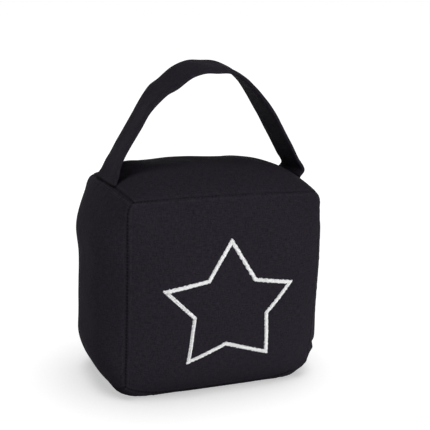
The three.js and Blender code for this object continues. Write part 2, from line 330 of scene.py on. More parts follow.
# %% [markdown]
# ## The six panels and the lumps of this very bag
#
# The photograph also shows unevenness that chance doesn't give: the sides bulge and sink at
# certain heights, the top stands up beside the strap's left end, and low on the right the cloth
# of the front seam is pinched into a small fold. Each is one smooth bump at a measured place. A
# bump on a side is its height, its width and how far it stands out, in millimetres.

# %% Lumps at measured places
LEFT_SWELLS = ((89, 10, 1.8), (112, 9, -1.6), (22, 11, 1.8))
RIGHT_SWELLS = ((62, 18, 0.4), (108, 12, -1.9), (19, 9, 1.3))
SWELLS_START = 8 * MM
TOP_SWELL_AT = np.array((-46, 6)) * MM
TOP_SWELL_WIDTH = 11 * MM
TOP_SWELL = 3.2 * MM
PINCH_AT = np.array((64.5, -30, 19.3)) * MM
PINCH_REACH = np.array((12, 6, 1.6)) * MM
PINCH = 2.1 * MM
BULGE_BELOW_PINCH = 0.9 * MM
BULGE_DROP = 3.7 * MM


def add_side_swells(made, swells_by_height):
    """Push a side out or in at some heights, but not at its seams."""
    inside = clear_of_seams(made["gaps"], SWELLS_START)
    for height, width, push in swells_by_height:
        out = push * MM * bump_at(made["points"][..., 2], height * MM, width * MM) * inside
        made["points"] = made["points"] + out[..., None] * made["out"]


def add_top_swell(made):
    inside = clear_of_seams(made["gaps"], SWELLS_START)
    from_swell = np.linalg.norm(made["points"][..., :2] - TOP_SWELL_AT, axis=-1)
    made["points"][..., 2] += TOP_SWELL * bump_at(from_swell, 0, TOP_SWELL_WIDTH) * inside


def add_pinch(made):
    """The small fold low on the right front seam, where the cloth was caught in the sewing."""
    away = (made["points"] - PINCH_AT) / PINCH_REACH
    below = away + np.array((0, 0, BULGE_DROP)) / PINCH_REACH
    push = BULGE_BELOW_PINCH * np.exp(-(below ** 2).sum(-1)) - PINCH * np.exp(-(away ** 2).sum(-1))
    made["points"][..., 0] += push


print("swells measured: %d left, %d right" % (len(LEFT_SWELLS), len(RIGHT_SWELLS)))

# %% Make the panels
FACE_CROWN = 7.3 * MM
LEFT_CROWN = 8.4 * MM
RIGHT_CROWN = 8.7 * MM
TOP_CROWN = 7.6 * MM
BASE_CROWN = 13.4 * MM
SETTLING = 0.11
ACROSS, DEEP, UP = 0, 1, 2
PANELS = {
    "front": ((0, -1, 0), (ACROSS, UP), FACE_CROWN, (4, 4.7), 35),
    "back": ((0, 1, 0), (ACROSS, UP), FACE_CROWN, (4, 4.7), 45),
    "left": ((-1, 0, 0), (DEEP, UP), LEFT_CROWN, (3.3, 4.7), 55),
    "right": ((1, 0, 0), (DEEP, UP), RIGHT_CROWN, (2.6, 4.7), 65),
    "top": ((0, 0, 1), (ACROSS, DEEP), TOP_CROWN, (4.1, 2.4), 80),
    "base": ((0, 0, -1), (ACROSS, DEEP), BASE_CROWN, (4, 4), 90),
}


def seams_of(outward):
    """A panel's four seams: the two that run its first way, then the two that run its second."""
    x, y, z = outward
    if y:
        uprights = (partial(upright_seam, -1, y), partial(upright_seam, 1, y))
        return (partial(base_face_seam, y), partial(top_face_seam, y), *uprights)
    if x:
        uprights = (partial(upright_seam, x, -1), partial(upright_seam, x, 1))
        return (partial(base_side_seam, x), partial(top_side_seam, x), *uprights)
    face, side = (top_face_seam, top_side_seam) if z > 0 else (base_face_seam, base_side_seam)
    return (partial(face, -1), partial(face, 1), partial(side, -1), partial(side, 1))


def stand_flat(base):
    """Press what reaches under the floor back onto it."""
    base["points"][..., 2] = np.maximum(base["points"][..., 2], 0)


def bag_panels(lines):
    """All panels of the bag: an upright one is fuller low down, where the filling settles."""
    made = {}
    for name, (outward, ways, crown, flatness, seed) in PANELS.items():
        halves = [HALVES[way] for way in ways]
        a, b = (lines[way] for way in ways)
        settled = SETTLING if UP in ways else 0
        made[name] = panel(seams_of(outward), outward, crown, flatness, halves, a, b, seed, settled)
    add_side_swells(made["left"], LEFT_SWELLS)
    add_side_swells(made["right"], RIGHT_SWELLS)
    add_pinch(made["front"])
    add_pinch(made["right"])
    add_top_swell(made["top"])
    stand_flat(made["base"])
    return made


coarse_panels = bag_panels(coarse_lines)
panels = bag_panels(fine_lines)
print("points of the fine panels:", sum(made["points"].size // 3 for made in panels.values()))

# %% Join the panels
WELD_WITHIN = 0.001 * MM


def walls(one, other):
    """Faces between two sets of point numbers that run side by side along their second axis."""
    return np.stack([one[:, :-1], other[:, :-1], other[:, 1:], one[:, 1:]], -1).reshape(-1, 4)


def welded(panels):
    """One closed mesh from the panels, where neighbours share the points on their seam."""
    faces, first = [], 0
    for made in panels.values():
        rows, columns = made["points"].shape[:2]
        index = first + np.arange(rows * columns).reshape(rows, columns)
        faces.append(walls(index[:-1], index[1:])[:, ::made["winding"]])
        made["place"] = index
        first += rows * columns
    faces = np.concatenate(faces)
    points = np.concatenate([made["points"].reshape(-1, 3) for made in panels.values()])
    keys = np.round(points / WELD_WITHIN).astype(np.int64)
    _, kept, place = np.unique(keys, axis=0, return_index=True, return_inverse=True)
    for made in panels.values():
        made["place"] = place.reshape(-1)[made["place"]]
    maps = {}
    for name in ("cloth", "gaps", "stitches"):
        values = np.concatenate([made[name].reshape(-1, 2) for made in panels.values()])
        maps[name] = values[faces.reshape(-1)]
    return {"points": points[kept], "faces": place.reshape(-1)[faces], "maps": maps}


coarse = welded(coarse_panels)
print("coarse bag: %d points, %d faces" % (len(coarse["points"]), len(coarse["faces"])))


# %% Make a mesh object from arrays
def new_object(name, points, faces, maps=None):
    mesh = bpy.data.meshes.new(name)
    mesh.from_pydata(points.tolist(), [], faces.tolist())
    for map_name, values in (maps or {}).items():
        layer = mesh.uv_layers.new(name=map_name, do_init=False)
        layer.uv.foreach_set("vector", values.astype(np.float32).ravel())
    mesh.polygons.foreach_set("use_smooth", np.ones(len(mesh.polygons), bool))
    mesh.update()
    made = bpy.data.objects.new(name, mesh)
    bpy.context.scene.collection.objects.link(made)
    return made


def place_of(thing):
    points = np.empty(len(thing.data.vertices) * 3, np.float32)
    thing.data.vertices.foreach_get("co", points)
    return points.reshape(-1, 3)


print("mesh helpers ready")

# %% [markdown]
# ## Let the cloth settle by simulation
#
# The panels were cut a little larger than the frame of seams that holds them, which is why the
# cloth puckers beside every seam. Blender's Cloth finds those puckers by itself: the seams and
# the base are held, the cloth between them has a little to spare, and the filling pushes from
# inside. The mesh is simulated twenty times larger than life, because Blender's usual cloth
# settings suit things of that size. Only the moves are kept, no larger than a limit.

# %% Run the cloth
SIMULATED_LARGER = 20
SPARE_CLOTH = 0.006
FILLING_PRESSURE = 4.0
SETTLING_FRAMES = 20
LARGEST_MOVE = 1.3 * MM
HELD_WITHIN = 0.01 * MM
CLOTH_SETTINGS = {
    "vertex_group_mass": "held", "quality": 5, "mass": 0.3, "tension_stiffness": 15,
    "compression_stiffness": 15, "shear_stiffness": 5, "bending_stiffness": 0.6,
    "tension_damping": 15, "shrink_min": -SPARE_CLOTH, "use_pressure": True,
    "uniform_pressure_force": FILLING_PRESSURE,
}


def settled_moves(mesh_data, held_points):
    """How far each point of a closed mesh moves when its cloth settles between held points."""
    start = mesh_data["points"]
    cloth_piece = new_object("cloth_at_rest", start * SIMULATED_LARGER, mesh_data["faces"])
    group = cloth_piece.vertex_groups.new(name="held")
    group.add(np.flatnonzero(held_points).tolist(), 1.0, "REPLACE")
    cloth = cloth_piece.modifiers.new("Cloth", "CLOTH")
    for name, value in CLOTH_SETTINGS.items():
        setattr(cloth.settings, name, value)
    cloth.settings.effector_weights.gravity = 0
    cloth.collision_settings.use_collision = False
    cloth.collision_settings.use_self_collision = False
    cloth.point_cache.frame_start = 1
    cloth.point_cache.frame_end = SETTLING_FRAMES
    for step in range(1, SETTLING_FRAMES + 1):
        bpy.context.scene.frame_set(step)
    bpy.context.view_layer.objects.active = cloth_piece
    bpy.ops.object.modifier_apply(modifier=cloth.name)
    moves = place_of(cloth_piece) / SIMULATED_LARGER - start
    bpy.data.objects.remove(cloth_piece)
    bpy.context.scene.frame_set(1)
    return moves


def limited(moves, most):
    length = np.linalg.norm(moves, axis=-1, keepdims=True)
    return moves * (most * np.tanh(length / most) / np.maximum(length, 1e-9))


held = np.zeros(len(coarse["points"]), bool)
for name, made in coarse_panels.items():
    on_seam = made["gaps"].min(-1) < HELD_WITHIN
    held[made["place"][on_seam | (name == "base")]] = True
settled = limited(settled_moves(coarse, held), LARGEST_MOVE)
reach = np.linalg.norm(settled, axis=-1) / MM
print("cloth moved %.2f mm at most, %.2f mm on average" % (reach.max(), reach[~held].mean()))


# %% Carry the moves over to the fine grid
def spread(coarse_line, fine_line, values):
    """Values on the coarse lines, carried smoothly to the fine lines along the first axis."""
    slope = np.gradient(values, coarse_line, axis=0)
    cell = np.clip(np.searchsorted(coarse_line, fine_line, side="right") - 1, 0, len(coarse_line) - 2)
    width = (coarse_line[cell + 1] - coarse_line[cell])[:, None, None]
    t = (fine_line - coarse_line[cell])[:, None, None] / width
    start = (2 * t ** 3 - 3 * t ** 2 + 1) * values[cell] + (t ** 3 - 2 * t ** 2 + t) * width * slope[cell]
    end = (3 * t ** 2 - 2 * t ** 3) * values[cell + 1] + (t ** 3 - t ** 2) * width * slope[cell + 1]
    return start + end


for name, made in panels.items():
    a, b = PANELS[name][1]
    moves = spread(coarse_lines[a], fine_lines[a], settled[coarse_panels[name]["place"]])
    moves = spread(coarse_lines[b], fine_lines[b], moves.swapaxes(0, 1)).swapaxes(0, 1)
    made["points"] = made["points"] + moves
print("front panel spans %.1f mm up" % (np.ptp(panels["front"]["points"][..., 2]) / MM))

# %% [markdown]
# ## Dimples at the stitches
#
# The seam is sewn with the bag inside out, so little of the thread shows. What shows is its pull:
# at each stitch the cloth of both panels dips into the seam, and between two stitches it swells.
# Every other line of the grid lies on a stitch, so the dimples are as sharp as the mesh allows.

# %% Pull the cloth in at each stitch
DIMPLE = 0.14 * MM
DIMPLE_REACH = 0.9 * MM
DIMPLE_SHARE = 0.4


def stitch_pull(line, half):
    """Dips in at a stitch and out between two stitches, along one seam."""
    return 0.5 + 0.5 * np.cos(2 * math.pi * stitch_count(line, half)) - DIMPLE_SHARE


def beside_seam(gap):
    """Nothing on the seam, most at the dimple's reach and fading from there."""
    return gap / DIMPLE_REACH * np.exp(1 - gap / DIMPLE_REACH)


for name, made in panels.items():
    a, b = PANELS[name][1]
    gap_a, gap_b = made["gaps"][..., 0], made["gaps"][..., 1]
    pull_a = beside_seam(gap_a) * seam_roll(gap_b) * stitch_pull(fine_lines[b], HALVES[b])[None, :]
    pull_b = beside_seam(gap_b) * seam_roll(gap_a) * stitch_pull(fine_lines[a], HALVES[a])[:, None]
    made["points"] = made["points"] - DIMPLE * (pull_a + pull_b)[..., None] * made["out"]
stand_flat(panels["base"])
print("stitches up a seam:", stitches_on(2 * HALVES[UP]))

# %% [markdown]
# ## Where the star goes
#
# The star was drawn by hand: its ten corners aren't evenly spread. Its outline comes before the
# bag is finished because the dense stitches pull the front panel in along their line, and the
# cloth puffs up a little on both sides.

# %% The star's outline and the dent under it
STAR_MIDDLE = np.array((0.6, 54.1)) * MM
STAR_CORNERS = {
    "top tip": (-1.2, 38.5), "upper right notch": (14.3, 15.0),
    "right tip": (36.5, 11.3), "right notch": (22.6, -5.9),
    "lower right tip": (24.8, -30.7), "bottom notch": (-1.4, -22.3),
    "lower left tip": (-23.5, -31.1), "left notch": (-21.1, -4.4),
    "left tip": (-38.1, 12.0), "upper left notch": (-13.5, 16.4),
}
STAR_BAND = 1.85 * MM
STAR_DENT = 0.22 * MM
STAR_DENT_REACH = 2.6 * MM
PUFF_AT = 4 * MM
PUFF_WIDTH = 2 * MM
star_corners = STAR_MIDDLE + MM * np.array(list(STAR_CORNERS.values()))


def distance_to_outline(points, corners):
    """Distance from points in the plane to a closed outline."""
    nearest = np.full(points.shape[:-1], 1.0)
    for start, end in zip(corners, np.roll(corners, -1, axis=0)):
        along = end - start
        share = np.clip(((points - start) @ along) / (along @ along), 0, 1)
        nearest = np.minimum(nearest, np.linalg.norm(points - start - share[..., None] * along, axis=-1))
    return nearest


front = panels["front"]
from_star = distance_to_outline(front["points"][..., [0, 2]], star_corners)
dent = bump_at(from_star, 0, STAR_DENT_REACH) - 0.5 * bump_at(from_star, PUFF_AT, PUFF_WIDTH)
front["points"][..., 1] += STAR_DENT * dent
star_sides = np.linalg.norm(star_corners - np.roll(star_corners, -1, 0), axis=1)
print("star outline is %.0f mm long" % (star_sides.sum() / MM))

# %% Make the bag
bag_data = welded(panels)
bag = new_object("sewn_bag", bag_data["points"], bag_data["faces"], bag_data["maps"])
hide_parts("stuffed_bag")
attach(bag, "root")
closed = len(bag_data["points"]) == len(bag_data["faces"]) + 2
print("bag: %d points, %d faces, closed: %s" % (len(bag_data["points"]), len(bag_data["faces"]), closed))

# %% [markdown]
# ## The seam thread
#
# Where the filling spreads a seam, the thread shows as short bars across the valley, one at each
# stitch. Each is a small bent rod from the cloth of one panel to that of its neighbour. They are
# swept as tubes, which is also how the white threads of the star are made.

# %% Sweep many short threads at once
SEAM_THREAD = 0.10 * MM
SEAM_THREAD_RISE = 0.02 * MM
SEAM_THREAD_SINK = 2.2 * SEAM_THREAD_RISE
SEAM_THREAD_SIDES = 6
SEAMS = (
    ("front", 0, -1, "left", 0, -1), ("front", 0, 1, "right", 0, -1),
    ("back", 0, -1, "left", 0, 1), ("back", 0, 1, "right", 0, 1),
    ("front", 1, 1, "top", 1, -1), ("back", 1, 1, "top", 1, 1),
    ("left", 1, 1, "top", 0, -1), ("right", 1, 1, "top", 0, 1),
    ("front", 1, -1, "base", 1, -1), ("back", 1, -1, "base", 1, 1),
    ("left", 1, -1, "base", 0, -1), ("right", 1, -1, "base", 0, 1),
)


def threads(paths, radii, sides):
    """Tubes along many paths of equal point count: paths is (count, steps, 3), radii (count, steps)."""
    count, steps = paths.shape[:2]
    along = unit(np.gradient(paths, axis=1))
    chord = paths[:, -1] - paths[:, 0]
    middle = paths[:, steps // 2] - (paths[:, 0] + paths[:, -1]) / 2
    sideways = np.repeat(unit(np.cross(chord, middle))[:, None], steps, 1)
    upwards = np.cross(sideways, along)
    turn = np.arange(sides) / sides * 2 * math.pi
    ring = sideways[:, :, None] * np.cos(turn)[:, None] + upwards[:, :, None] * np.sin(turn)[:, None]
    points = paths[:, :, None] + ring * radii[:, :, None, None]
    index = np.arange(count * steps * sides).reshape(count, steps, sides)
    return points.reshape(-1, 3), walls(index, np.roll(index, -1, axis=2))


def rows_beside(name, axis, end):
    """The first two lines of a panel beside one of its seams, as rows of points."""
    points = panels[name]["points"]
    points = points if axis == 0 else points.swapaxes(0, 1)
    return (points[1], points[2]) if end < 0 else (points[-2], points[-3])


stitch_paths = []
for name, axis, end, other, other_axis, other_end in SEAMS:
    close, far = rows_beside(name, axis, end)
    other_close, other_far = rows_beside(other, other_axis, other_end)
    out = unit(panels[name]["out"] + panels[other]["out"])
    over = (close + other_close) / 2 + out * SEAM_THREAD_RISE
    sink = out * SEAM_THREAD_SINK
    path = np.stack([far - sink, close, over, other_close, other_far - sink], 1)
    stitch_paths.append(path[len(ROWS_BY_SEAM):-len(ROWS_BY_SEAM):2])
stitch_paths = np.concatenate(stitch_paths)
stitch_radii = np.full(stitch_paths.shape[:2], SEAM_THREAD)
seam_thread = new_object("seam_thread", *threads(stitch_paths, stitch_radii, SEAM_THREAD_SIDES))
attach(seam_thread, "root")
print("seam stitches:", len(stitch_paths))

# %% [markdown]
# ## The carrying strap
#
# The strap is a flat tube of the same cloth, turned right side out and pressed, so its edges are
# a little thicker than its middle. It leaves the left seam, rises, bends over in a soft corner and
# comes down to the right seam. Its middle line is a curve through measured places, its width
# turns a few degrees on the way, and a ring of points is swept along it. The places of a leg are
# counted inwards and upwards from its seam, and those of the arch from the strap's highest place.

# %% The strap's middle line
STRAP_WIDTH = 29.4 * MM
STRAP_THICKNESS = 2.7 * MM
STRAP_TAIL = 9 * MM
STRAP_TAIL_LEAN = 2 * MM
STRAP_PEAK = (3.0, 182.3)
LEFT_LEG = (
    (2.2, 4.5), (4.3, 10.6), (7.8, 17.6), (11.9, 24.6), (15.7, 31.2), (19.8, 38), (24.9, 44.9), (30, 50.5),
)
ARCH_TOP = ((-24, -9.1), (-16, -2.8), (-8, 0.0), (0, -0.1), (8, -0.3), (15, -2.7))
RIGHT_LEG = (
    (29.3, 52.7), (24.3, 46.7), (19, 39.6), (14.3, 32.8), (10.1, 25.6), (5.5, 18), (1.2, 10.4), (-2.4, 4),
)
ROUTE_SAMPLES = 4000
STRAP_ROWS = 300


def strap_places():
    seam_x, seam_z = STRAP_SEAM_MIDDLE[0] / MM, STRAP_SEAM_MIDDLE[2] / MM
    tail_x, tail_z = seam_x - STRAP_TAIL_LEAN / MM, seam_z - STRAP_TAIL / MM
    places = [(-tail_x, tail_z), (-seam_x, seam_z)]
    places += [(-seam_x + inwards, seam_z + up) for inwards, up in LEFT_LEG]
    places += [(STRAP_PEAK[0] + across, STRAP_PEAK[1] + down) for across, down in ARCH_TOP]
    places += [(seam_x - inwards, seam_z + up) for inwards, up in RIGHT_LEG]
    places += [(seam_x, seam_z), (tail_x, tail_z)]
    return np.array([(x, 0.0, z) for x, z in places]) * MM


def smooth_route(places, count):
    """Evenly spaced points on a smooth curve through the places, and how far along each is."""
    steps = np.linalg.norm(np.diff(places, axis=0), axis=1) ** 0.5
    knots = np.concatenate([[0], np.cumsum(steps)])
    samples = np.linspace(0, knots[-1], ROUTE_SAMPLES)
    line = spread(knots, samples, places[:, None, :])[:, 0]
    run = np.concatenate([[0], np.cumsum(np.linalg.norm(np.diff(line, axis=0), axis=1))])
    even = np.linspace(0, run[-1], count)
    return np.stack([np.interp(even, run, line[:, i]) for i in range(3)], -1), even


strap_line, strap_run = smooth_route(strap_places(), STRAP_ROWS)
strap_length = strap_run[-1]
print("strap is %.0f mm long with its tails" % (strap_length / MM))

# %% [markdown]
# ## How the strap twists and where its edges wander
#
# The strap was not pulled straight when it was sewn in. Its turn is given in degrees at even steps
# from the left tail to the right one. Its edges wander in slow waves, and they stand out or in at
# a few measured places: each is a distance along the strap, or back from its end where that is
# below zero, then a width and how far the edge stands out, all in millimetres.

# %% The strap's ring, twist and edges
STRAP_TURNS = np.array((6.0, -5.1, -4.3, 4.3, 7.5, 6.6, 2.0, 1.4, 1.6))
RING_POINTS = 96
RIM_AT = 0.93
EDGE_WAVE = 0.18 * MM
FRONT_EDGE_OUT = 0.4 * MM
FRONT_EDGE_BUMPS = ((-13, 7, 1.6), (93, 8, 0.8))
REAR_EDGE_BUMPS = ((17, 8, 1.9), (111, 13, 0.9), (134, 7, 0.7), (-14, 7, -1.0))


def eased(t):
    t = np.clip(t, 0, 1)
    return t * t * (3 - 2 * t)


def edge_profile(wide):
    """Half thickness over the width, as a share of the thickest: flatter sides, rounded edges."""
    wide = np.abs(wide)
    body = 1 - 0.25 * eased((wide - 0.55) / 0.4)
    rim = np.sqrt(np.clip(1 - (np.clip(wide - RIM_AT, 0, 1 - RIM_AT) / (1 - RIM_AT)) ** 2, 0, 1))
    return body * rim


def wandering_edge(seed, bumps):
    """How far an edge of the strap stands out of true along its length."""
    edge = waves(seed, 6, 14 * MM, 60 * MM)(strap_run) * EDGE_WAVE
    for at, width, out in bumps:
        middle = at * MM if at > 0 else strap_length + at * MM
        edge = edge + out * MM * bump_at(strap_run, middle, width * MM)
    return edge


ring_angle = np.linspace(0, 2 * math.pi, RING_POINTS, endpoint=False)
ring_wide = np.cos(ring_angle)
ring_thick = np.sign(np.round(np.sin(ring_angle), 9)) * edge_profile(ring_wide)
tangent = unit(np.gradient(strap_line, strap_run, axis=0))
share = strap_run / strap_length * (len(STRAP_TURNS) - 1)
stage = np.minimum(share.astype(int), len(STRAP_TURNS) - 2)
turn_step = STRAP_TURNS[stage + 1] - STRAP_TURNS[stage]
turn = np.radians(STRAP_TURNS[stage] + turn_step * eased(share - stage))[:, None]
backwards = np.array((0.0, 1.0, 0.0))[None]
outwards = np.cross(tangent, backwards)
across = backwards * np.cos(turn) + outwards * np.sin(turn)
through = outwards * np.cos(turn) + np.cross(tangent, outwards) * np.sin(turn)
front_edge = wandering_edge(21, FRONT_EDGE_BUMPS) + FRONT_EDGE_OUT
rear_edge = wandering_edge(22, REAR_EDGE_BUMPS)
half_width = STRAP_WIDTH / 2 + np.where(ring_wide[None] < 0, front_edge[:, None], rear_edge[:, None])
strap_points = strap_line[:, None] + across[:, None] * (ring_wide[None] * half_width)[..., None]
strap_points = strap_points + through[:, None] * (ring_thick * STRAP_THICKNESS / 2)[None, :, None]
strap_lumps = swells(23, 12, 16 * MM, 50 * MM)
strap_creases = swells(24, 16, 5 * MM, 12 * MM)
uneven = 0.30 * MM * strap_lumps(strap_points) + 0.07 * MM * strap_creases(strap_points)
face_way = np.sign(ring_thick)[None, :, None] * (1 - np.abs(ring_wide) ** 6)[None, :, None]
strap_points = strap_points + through[:, None] * uneven[..., None] * (0.55 + 0.45 * face_way)
print("strap ring has %d points" % len(ring_angle))

# %% Make the strap
SHADED_ROOT = 0.3 * MM
FAR_FROM_SEAMS = 50 * MM


def tube_walls(rows, sides, ring_run, along_run):
    """The walls of a tube of rings, open at both ends, and the cloth map of their corners."""
    index = np.arange(rows * sides).reshape(1, rows, sides)
    spots = on_grid(along_run, ring_run)
    corners = (spots[:-1, :-1], spots[:-1, 1:], spots[1:, 1:], spots[1:, :-1])
    return walls(index, np.roll(index, -1, axis=2)), np.stack(corners, 2).reshape(-1, 2)


def turned_over(corner_values):
    """Values of face corners for the same faces wound the other way."""
    return corner_values.reshape(-1, 4, 2)[:, ::-1].reshape(-1, 2)


middle_ring = strap_points[STRAP_ROWS // 2]
ring_steps = np.linalg.norm(np.diff(middle_ring, axis=0, append=middle_ring[:1]), axis=1)
ring_run = np.concatenate([[0], np.cumsum(ring_steps)])
strap_walls, strap_map = tube_walls(STRAP_ROWS, RING_POINTS, ring_run, strap_run)
# The strap's distance from its seams feeds the painted seam shade, which darkens its root. Within
# SHADED_ROOT of the seam that distance counts as nothing, so the painted shade is darkest there.
from_end = np.minimum(strap_map[:, 0], strap_length - strap_map[:, 0])
from_seam = np.maximum(np.abs(from_end - STRAP_TAIL) - SHADED_ROOT, 0)
strap = new_object("sewn_strap", strap_points.reshape(-1, 3), strap_walls[:, ::-1], {
    "cloth": turned_over(strap_map),
    "gaps": turned_over(np.stack([from_seam, np.full_like(from_seam, FAR_FROM_SEAMS)], -1)),
    "stitches": np.zeros_like(strap_map),
})
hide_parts("carrying_strap")
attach(strap, "root")
print("strap: %d faces" % len(strap_walls))

# %% [markdown]
# ## The satin stitches of the star
#
# Satin stitch lays threads side by side across a narrow band until no cloth shows. At a corner
# the threads of both arms stop at the line that halves the angle, which leaves the fine mitre
# line seen at the tips. Here each thread is laid one by one on the front of the bag: it comes out
# of the cloth on one side, arches over, and dives in again on the other.

# %% Find the front of the bag
bag_tree = BVHTree.FromPolygons(bag_data["points"].tolist(), bag_data["faces"].tolist())
LOOK_FROM = -0.2


def over_front(places, height):
    """Points over the bag's front, which is found at each place by a straight look from in front."""
    depth = np.empty(places.shape[:-1])
    for spot in np.ndindex(depth.shape):
        x, z = places[spot]
        depth[spot] = bag_tree.ray_cast(Vector((x, LOOK_FROM, z)), Vector((0, 1, 0)))[0].y
    return np.stack([places[..., 0], depth - height, places[..., 1]], -1)


print("front stands %.1f mm out at the star's middle" % (-over_front(STAR_MIDDLE, 0)[1] / MM))

# %% Plan the threads of one arm
SATIN_PITCH = 0.40 * MM
SATIN_TIP_GAP = 0.1 * MM
SHORTEST_SATIN = 0.15 * MM
PITCH_CHANCE = 0.035 * MM
SLANT_CHANCE = 0.05 * MM
END_DRIFT = 0.13 * MM
END_CHANCE = 0.11 * MM
satin_random = np.random.default_rng(31)


def quarter_turned(way):
    """A way in the plane, turned to its left."""
    return np.stack([-way[..., 1], way[..., 0]], -1)


def half_turn(before, corner, after):
    """Half the angle at a corner, and the side it opens to: 1 left of the way in, -1 right."""
    way_in, way_out = before - corner, after - corner
    cosine = way_in @ way_out / np.linalg.norm(way_in) / np.linalg.norm(way_out)
    side = np.sign(way_out[0] * way_in[1] - way_out[1] * way_in[0])
    return math.acos(cosine) / 2, side


def band_limits(t, half, opens, width):
    """Lowest and highest offset of a thread t along the arm from a corner."""
    mitre = t * math.tan(half)
    if opens > 0:
        return np.full_like(t, -width), np.minimum(width, mitre)
    return np.maximum(-width, -mitre), np.full_like(t, width)


def uneven_ends(t, ragged):
    """How far short the threads stop: a slow drift of the needle, and each thread's own chance."""
    drift = waves(satin_random.integers(1000), 6, 1.3 * MM, 4 * MM)(t) * END_DRIFT
    return ragged * (drift - np.abs(satin_random.normal(0, END_CHANCE, len(t))))


def arm_threads(before, start, end, after, ragged):
    """Where the threads of one arm lie: along it, and from a low to a high offset across it."""
    length = np.linalg.norm(end - start)
    along = (end - start) / length
    half_start, opens_start = half_turn(before, start, end)
    half_end, opens_end = half_turn(start, end, after)
    width = STAR_BAND / 2
    first = -width / math.tan(half_start) + SATIN_TIP_GAP
    last = length + width / math.tan(half_end) - SATIN_TIP_GAP
    t = np.arange(first, last, SATIN_PITCH)
    t = t + satin_random.normal(0, PITCH_CHANCE, len(t))
    low_a, high_a = band_limits(t, half_start, opens_start, width)
    low_b, high_b = band_limits(length - t, half_end, opens_end, width)
    low, high = np.maximum(low_a, low_b), np.minimum(high_a, high_b)
    kept = high - low > SHORTEST_SATIN
    t, low, high = t[kept], low[kept], high[kept]
    low = low + uneven_ends(t, ragged)
    high = high - uneven_ends(t, ragged)
    slant = satin_random.normal(0, SLANT_CHANCE, len(t))
    return start, along, t, low, high, slant


print("threads lie %.2f mm apart" % (SATIN_PITCH / MM))

# %% [markdown]
# ## Lay the threads
#
# Two arms of the real star were sewn as two narrow columns side by side, with a thin line of black
# cloth between them. For these the table gives where the split starts and ends along the arm and
# where it lies across it, as shares from 0 to 1. Their threads end more evenly, or the line would
# close up. Threads near a tip are short, and they lie lower and look thinner.

# %% Lay the threads of every arm
SATIN_RADIUS = 0.235 * MM
SATIN_HEIGHT = 0.62 * MM
SATIN_SINK = 0.22 * MM
HEIGHT_CHANCE = 0.05 * MM
SATIN_STEPS = 9
SATIN_SIDES = 8
SPLIT_ARMS = {6: (0.0, 1.0, 0.62), 7: (0.25, 1.0, 0.52)}
SPLIT_GAP = 0.24 * MM
SPLIT_ROOM = 1.2 * MM
SPLIT_RAGGED = 0.4


def laid(start, along, t, low, high, slant):
    """Paths of the threads over the cloth, arched, with both ends under it."""
    share = np.linspace(0, 1, SATIN_STEPS)[None]
    offset = low[:, None] + (high - low)[:, None] * share
    slid = t[:, None] + slant[:, None] * (share - 0.5)
    places = start + along * slid[..., None] + quarter_turned(along) * offset[..., None]
    span = np.clip((high - low) / STAR_BAND, 0.25, 1)[:, None]
    arch = 1 - np.abs(2 * share - 1) ** 3.2
    height = SATIN_HEIGHT * span ** 0.5 * arch - SATIN_SINK * (1 - arch)
    height = height + satin_random.normal(0, HEIGHT_CHANCE, len(t))[:, None]
    radii = SATIN_RADIUS * np.clip(2 * span, 0.55, 1) * np.ones((1, SATIN_STEPS))
    return over_front(places, height), radii


def split_columns(arm, first, last, share):
    """The threads of an arm that was sewn as two columns from one place to another."""
    start, along, t, low, high, slant = arm
    middle = low + (high - low) * share
    along_arm = (t - t[0]) / (t[-1] - t[0])
    both = (along_arm >= first) & (along_arm <= last) & (high - low > SPLIT_ROOM)
    one = ~both
    yield start, along, t[one], low[one], high[one], slant[one]
    yield start, along, t[both], low[both], middle[both] - SPLIT_GAP / 2, slant[both]
    yield start, along, t[both], middle[both] + SPLIT_GAP / 2, high[both], slant[both]


laid_arms = []
for i in range(len(star_corners)):
    corners = [star_corners[(i + step) % len(star_corners)] for step in (-1, 0, 1, 2)]
    arm = arm_threads(*corners, SPLIT_RAGGED if i in SPLIT_ARMS else 1.0)
    columns = split_columns(arm, *SPLIT_ARMS[i]) if i in SPLIT_ARMS else (arm,)
    laid_arms += [laid(*column) for column in columns if len(column[2])]
satin_paths = np.concatenate([paths for paths, radii in laid_arms])
satin_radii = np.concatenate([radii for paths, radii in laid_arms])
satin_points, satin_walls = threads(satin_paths, satin_radii, SATIN_SIDES)
print("satin threads:", len(satin_paths))

# %% [markdown]
# ## The padding under the stitches
#
# Under satin stitch lies a padding of long stitches that run along the arm. It lifts the threads
# and fills the gaps between them with white. Here it is one low band, arched across its width. On
# the split arms it stays under the cloth, because the cloth shows between the columns.

# %% Put the padding under them and make the star
UNDERLAY_SIDES = 7
UNDERLAY_STEPS = 40
UNDERLAY_HALF_WIDTH = STAR_BAND * 0.40
UNDERLAY_HEIGHT = 0.30 * MM
UNDERLAY_SINK = 0.12 * MM
UNDERLAY_HIDDEN = -0.3 * MM


def outline_band(corners, half_width):
    """Inner and outer corners of a closed band, met at the mitre lines."""
    before, after = np.roll(corners, 1, axis=0), np.roll(corners, -1, axis=0)
    normal_in, normal_out = quarter_turned(unit(corners - before)), quarter_turned(unit(after - corners))
    mitre = (normal_in + normal_out) / (1 + (normal_in * normal_out).sum(1))[:, None]
    return corners + mitre * half_width, corners - mitre * half_width


def stepped(corners):
    """A closed outline in even steps, the same number on every side."""
    share = (np.arange(UNDERLAY_STEPS) / UNDERLAY_STEPS)[:, None]
    return np.concatenate([a + (b - a) * share for a, b in zip(corners, np.roll(corners, -1, axis=0))])


